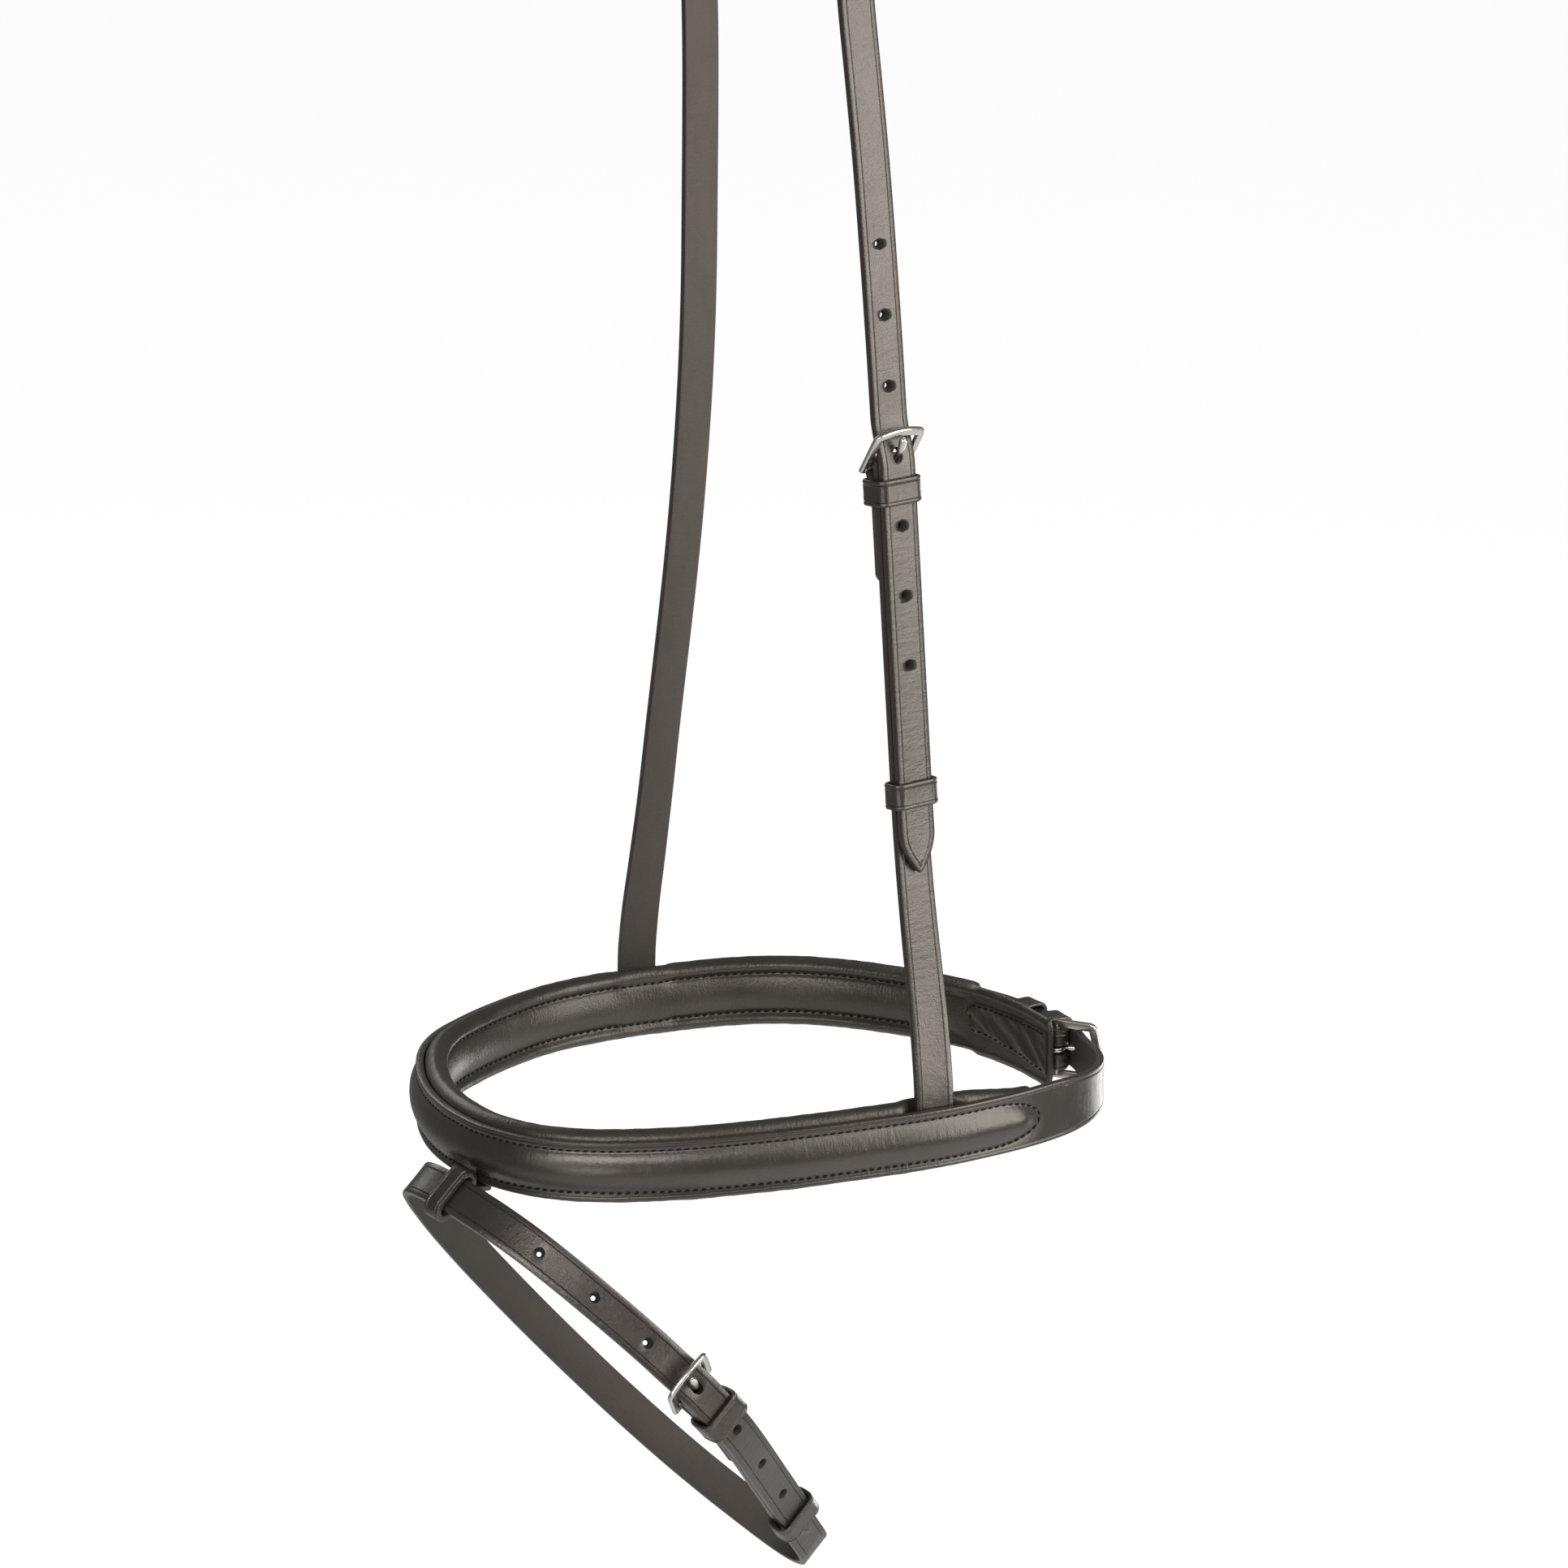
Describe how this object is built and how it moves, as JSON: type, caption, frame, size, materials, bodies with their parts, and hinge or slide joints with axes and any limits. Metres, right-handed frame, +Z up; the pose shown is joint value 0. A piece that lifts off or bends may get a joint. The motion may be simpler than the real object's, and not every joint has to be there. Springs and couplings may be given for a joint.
{
  "type": "flash noseband",
  "caption": "Padded flash noseband on its own buckled head strap, with a rolled lining, a raised band that buckles under the chin, and a flash strap in a loop at the nose.",
  "frame": {"origin": "underside of the head strap at the crown, where the piece hangs", "axes": "+Z up along the hanging head strap, -X towards the nose, +X towards the chin, -Y towards the near side with the cheek buckle"},
  "size_m": [0.2707, 0.2092, 0.6446],
  "materials": {
    "black_bridle_leather": "smooth dark leather with a soft sheen, edges burnished brown",
    "soft_lining_leather": "soft wrinkled leather, low sheen",
    "grey_foam": "dense matt foam, hidden",
    "polished_nickel": "polished warm silver"
  },
  "bodies": {
    "noseband": {"head_strap": "black_bridle_leather", "cheek_strap": "black_bridle_leather", "cheek_keeper": "black_bridle_leather", "noseband_strap": "black_bridle_leather", "raised_filler": "grey_foam", "lining_cover": "soft_lining_leather", "lining_foam": "grey_foam", "chin_keeper": "black_bridle_leather", "flash_tab": "black_bridle_leather"},
    "flash": {"flash_loop": "black_bridle_leather", "flash_strap": "black_bridle_leather", "flash_keeper": "black_bridle_leather"},
    "cheek_runner": {"cheek_runner": "black_bridle_leather"},
    "chin_runner": {"chin_runner": "black_bridle_leather"},
    "flash_runner": {"flash_runner": "black_bridle_leather"},
    "cheek_buckle": {"cheek_buckle": "polished_nickel"},
    "cheek_tongue": {"cheek_tongue": "polished_nickel"},
    "chin_buckle": {"chin_buckle": "polished_nickel"},
    "chin_tongue": {"chin_tongue": "polished_nickel"},
    "flash_buckle": {"flash_buckle": "polished_nickel"},
    "flash_tongue": {"flash_tongue": "polished_nickel"}
  },
  "joints": [
    {"name": "flash_swing", "type": "hinge", "parent": "noseband", "child": "flash", "pos_m": [-0.13825, -0.00899, -0.4759], "axis": [0.0654, -0.9979, 0], "range_deg": [0, 40]},
    {"name": "cheek_buckle_pivot", "type": "hinge", "parent": "noseband", "child": "cheek_buckle", "pos_m": [0, -0.06305, -0.22143], "axis": [1, 0, 0.0001], "range_deg": [-6, 2.5]},
    {"name": "cheek_tongue_pivot", "type": "hinge", "parent": "cheek_buckle", "child": "cheek_tongue", "pos_m": [0, -0.06305, -0.22143], "axis": [1, 0, 0.0001], "range_deg": [0, 2]},
    {"name": "chin_buckle_pivot", "type": "hinge", "parent": "noseband", "child": "chin_buckle", "pos_m": [0.09301, -0.05056, -0.462], "axis": [0, 0, 1], "range_deg": [-6, 1.5]},
    {"name": "chin_tongue_pivot", "type": "hinge", "parent": "chin_buckle", "child": "chin_tongue", "pos_m": [0.09301, -0.05056, -0.462], "axis": [0, 0, 1], "range_deg": [0, 1.2]},
    {"name": "flash_buckle_pivot", "type": "hinge", "parent": "flash", "child": "flash_buckle", "pos_m": [-0.09695, -0.07587, -0.54276], "axis": [0.766, 0, 0.6428], "range_deg": [-6, 2.5]},
    {"name": "flash_tongue_pivot", "type": "hinge", "parent": "flash_buckle", "child": "flash_tongue", "pos_m": [-0.09695, -0.07587, -0.54276], "axis": [0.766, 0, 0.6428], "range_deg": [0, 2]},
    {"name": "cheek_runner_slide", "type": "slide", "parent": "noseband", "child": "cheek_runner", "axis": [0.0001, -0.0907, -0.9959], "range_m": [-0.069, 0.01]},
    {"name": "chin_runner_slide", "type": "slide", "parent": "noseband", "child": "chin_runner", "axis": [0.0392, 0.9992, 0], "range_m": [-0.004, 0.004]},
    {"name": "flash_runner_slide", "type": "slide", "parent": "flash", "child": "flash_runner", "axis": [0.6136, 0.2977, -0.7313], "range_m": [-0.004, 0.004]}
  ]
}
